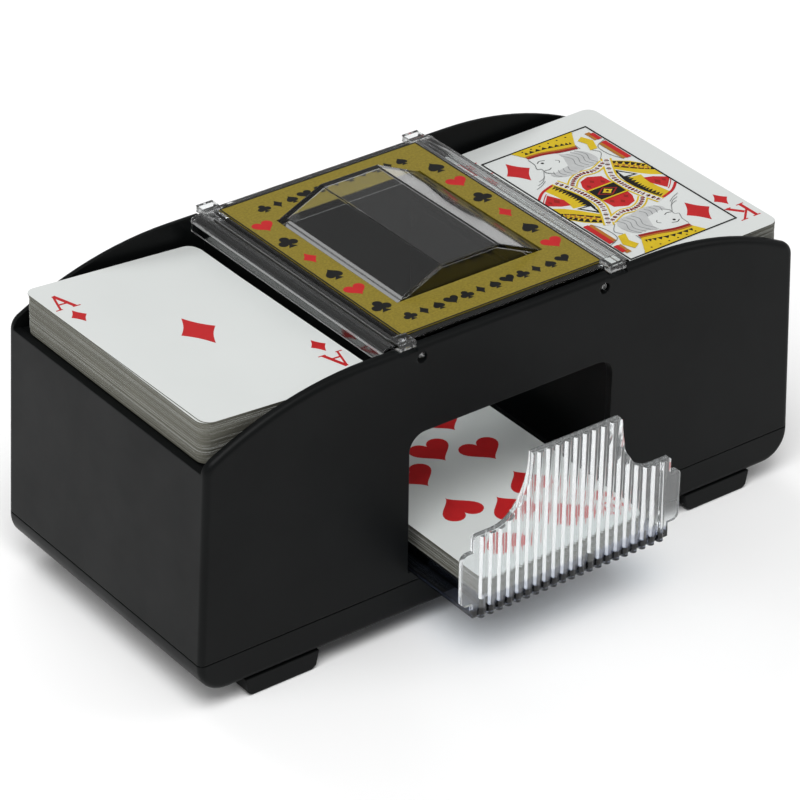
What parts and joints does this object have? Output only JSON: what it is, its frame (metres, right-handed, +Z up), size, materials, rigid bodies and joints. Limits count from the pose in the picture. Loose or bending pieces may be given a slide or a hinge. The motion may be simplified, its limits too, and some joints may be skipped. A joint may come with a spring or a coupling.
{
  "type": "automatic card shuffler",
  "caption": "Battery card shuffler with a tray at each end, a clear press cover with a raised window and a ribbed clear drawer in front.",
  "frame": {"origin": "on the table, under the middle of the casing, between the feet", "axes": "+X along the length towards the right-hand tray, +Y from the drawer side to the back, +Z up"},
  "size_m": [0.2126, 0.1269, 0.1003],
  "materials": {
    "black_plastic": "satin",
    "bush_plastic": "satin",
    "gear_plastic": "satin",
    "steel": "satin",
    "spring_steel": "bright",
    "motor_steel": "satin",
    "roller_rubber": "matt",
    "card_paper": "smooth coated",
    "gold_label": "satin print",
    "clear_plastic": "clear gloss",
    "switch_plastic": "satin",
    "cell_wrap": "gloss"
  },
  "bodies": {
    "housing": {"upper_shell": "black_plastic", "base_tray": "black_plastic", "feet": "black_plastic", "case_screws": "steel", "tray_screws": "steel", "switch_body": "switch_plastic", "battery_cells": "cell_wrap", "battery_contacts": "spring_steel", "battery_springs": "spring_steel", "left_tray_floor": "black_plastic", "left_gate_plate": "black_plastic", "left_drive_frame": "black_plastic", "left_shaft_bushes": "bush_plastic", "left_idler_pin": "steel", "left_motor": "motor_steel", "right_tray_floor": "black_plastic", "right_gate_plate": "black_plastic", "right_drive_frame": "black_plastic", "right_shaft_bushes": "bush_plastic", "right_idler_pin": "steel", "right_motor": "motor_steel"},
    "cover": {"top_cover": "clear_plastic", "cover_label": "gold_label", "cover_springs": "spring_steel"},
    "switch_plunger": {"switch_button": "switch_plastic"},
    "drawer": {"drawer": "clear_plastic", "shuffled_cards": "card_paper"},
    "battery_door": {"battery_door": "black_plastic"},
    "left_deck": {"left_card_deck": "card_paper"},
    "right_deck": {"right_card_deck": "card_paper"},
    "left_feed": {"left_feed_shaft": "steel", "left_feed_rollers": "roller_rubber", "left_feed_gear": "gear_plastic"},
    "left_eject": {"left_eject_shaft": "steel", "left_eject_rollers": "roller_rubber", "left_eject_gear": "gear_plastic"},
    "left_idler": {"left_idler_gear": "gear_plastic"},
    "left_pinion": {"left_motor_pinion": "gear_plastic"},
    "right_feed": {"right_feed_shaft": "steel", "right_feed_rollers": "roller_rubber", "right_feed_gear": "gear_plastic"},
    "right_eject": {"right_eject_shaft": "steel", "right_eject_rollers": "roller_rubber", "right_eject_gear": "gear_plastic"},
    "right_idler": {"right_idler_gear": "gear_plastic"},
    "right_pinion": {"right_motor_pinion": "gear_plastic"}
  },
  "joints": [
    {"name": "drawer_slide", "type": "slide", "parent": "housing", "child": "drawer", "axis": [0, -1, 0], "range_m": [-0.026, 0.06]},
    {"name": "cover_press", "type": "slide", "parent": "housing", "child": "cover", "axis": [0, 0, -1], "range_m": [0, 0.0012], "stiffness_N_per_m": 800, "springref_m": -0.003, "deforming": ["cover_springs"]},
    {"name": "switch_press", "type": "slide", "parent": "housing", "child": "switch_plunger", "axis": [0, 0, -1], "range_m": [0, 0.0015]},
    {"name": "battery_door_hinge", "type": "hinge", "parent": "housing", "child": "battery_door", "pos_m": [-0.042, 0, 0.0055], "axis": [0, -1, 0], "range_deg": [0, 75]},
    {"name": "left_deck_pull", "type": "slide", "parent": "housing", "child": "left_deck", "axis": [-0.9988, 0, 0.0489], "range_m": [0, 0.045]},
    {"name": "left_feed_spin", "type": "hinge", "parent": "housing", "child": "left_feed", "pos_m": [-0.0645, 0, 0.0652], "axis": [0, 1, 0], "continuous": true},
    {"name": "left_eject_spin", "type": "hinge", "parent": "housing", "child": "left_eject", "pos_m": [-0.0468, 0, 0.0652], "axis": [0, 1, 0], "continuous": true},
    {"name": "left_idler_spin", "type": "hinge", "parent": "housing", "child": "left_idler", "pos_m": [-0.05486, 0, 0.05437], "axis": [0, 1, 0], "continuous": true},
    {"name": "left_pinion_spin", "type": "hinge", "parent": "housing", "child": "left_pinion", "pos_m": [-0.068, 0, 0.04824], "axis": [0, 1, 0], "continuous": true},
    {"name": "right_deck_pull", "type": "slide", "parent": "housing", "child": "right_deck", "axis": [0.9988, 0, 0.0489], "range_m": [0, 0.045]},
    {"name": "right_feed_spin", "type": "hinge", "parent": "housing", "child": "right_feed", "pos_m": [0.0645, 0, 0.0652], "axis": [0, 1, 0], "continuous": true},
    {"name": "right_eject_spin", "type": "hinge", "parent": "housing", "child": "right_eject", "pos_m": [0.0468, 0, 0.0652], "axis": [0, 1, 0], "continuous": true},
    {"name": "right_idler_spin", "type": "hinge", "parent": "housing", "child": "right_idler", "pos_m": [0.05486, 0, 0.05437], "axis": [0, 1, 0], "continuous": true},
    {"name": "right_pinion_spin", "type": "hinge", "parent": "housing", "child": "right_pinion", "pos_m": [0.068, 0, 0.04824], "axis": [0, 1, 0], "continuous": true}
  ],
  "couplings": [
    {"joint": "switch_press", "follows": "cover_press", "ratio": 1},
    {"joint": "left_idler_spin", "follows": "left_feed_spin", "ratio": -0.61111},
    {"joint": "left_eject_spin", "follows": "left_feed_spin", "ratio": 1.2222},
    {"joint": "left_pinion_spin", "follows": "left_feed_spin", "ratio": 2.9333},
    {"joint": "right_idler_spin", "follows": "right_feed_spin", "ratio": -0.61111},
    {"joint": "right_eject_spin", "follows": "right_feed_spin", "ratio": 1.2222},
    {"joint": "right_pinion_spin", "follows": "right_feed_spin", "ratio": 2.9333}
  ]
}
